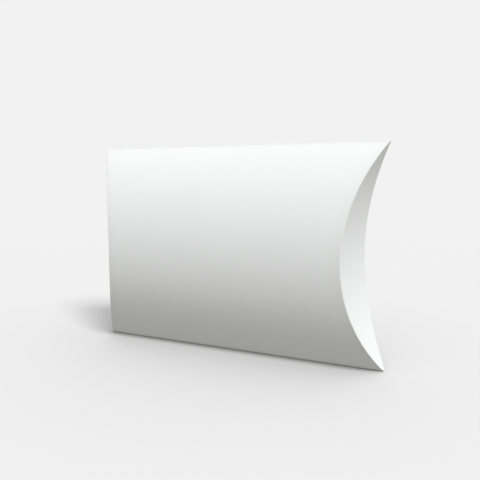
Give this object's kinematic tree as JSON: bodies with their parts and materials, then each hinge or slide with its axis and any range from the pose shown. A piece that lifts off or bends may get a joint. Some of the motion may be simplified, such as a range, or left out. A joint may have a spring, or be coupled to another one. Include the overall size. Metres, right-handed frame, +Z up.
{
  "type": "pillow box",
  "caption": "Plain white pillow box of folded boxboard, standing on its long crease, with curved end flaps that hinge open on both ends.",
  "frame": {"origin": "on the table, under the middle of the box, which stands on its bottom long crease", "axes": "+X along the box to its right end, +Y from the front panel to the back panel, +Z up to the top long crease"},
  "size_m": [0.17, 0.0474, 0.114],
  "materials": {
    "boxboard": "matt coated white board",
    "glue": "dried dispersion glue"
  },
  "bodies": {
    "sleeve": {"front_panel": "boxboard", "back_panel": "boxboard", "top_fold": "boxboard", "bottom_fold": "boxboard", "glue_tab": "boxboard", "glue_line": "glue"},
    "right_outer": {"right_outer_flap": "boxboard"},
    "right_inner": {"right_inner_flap": "boxboard"},
    "left_outer": {"left_outer_flap": "boxboard"},
    "left_inner": {"left_inner_flap": "boxboard"}
  },
  "joints": [
    {"name": "right_outer_crease", "type": "hinge", "parent": "sleeve", "child": "right_outer", "pos_m": [0.068, -0.02375, 0.057], "axis": [0, 0, -1], "range_deg": [0, 90]},
    {"name": "right_inner_crease", "type": "hinge", "parent": "sleeve", "child": "right_inner", "pos_m": [0.06725, 0.02375, 0.057], "axis": [0, 0, 1], "range_deg": [0, 81]},
    {"name": "left_outer_crease", "type": "hinge", "parent": "sleeve", "child": "left_outer", "pos_m": [-0.068, -0.02375, 0.057], "axis": [0, 0, 1], "range_deg": [0, 90]},
    {"name": "left_inner_crease", "type": "hinge", "parent": "sleeve", "child": "left_inner", "pos_m": [-0.06725, 0.02375, 0.057], "axis": [0, 0, -1], "range_deg": [0, 81]}
  ],
  "couplings": [
    {"joint": "right_inner_crease", "follows": "right_outer_crease", "ratio": 0.9},
    {"joint": "left_inner_crease", "follows": "left_outer_crease", "ratio": 0.9}
  ]
}
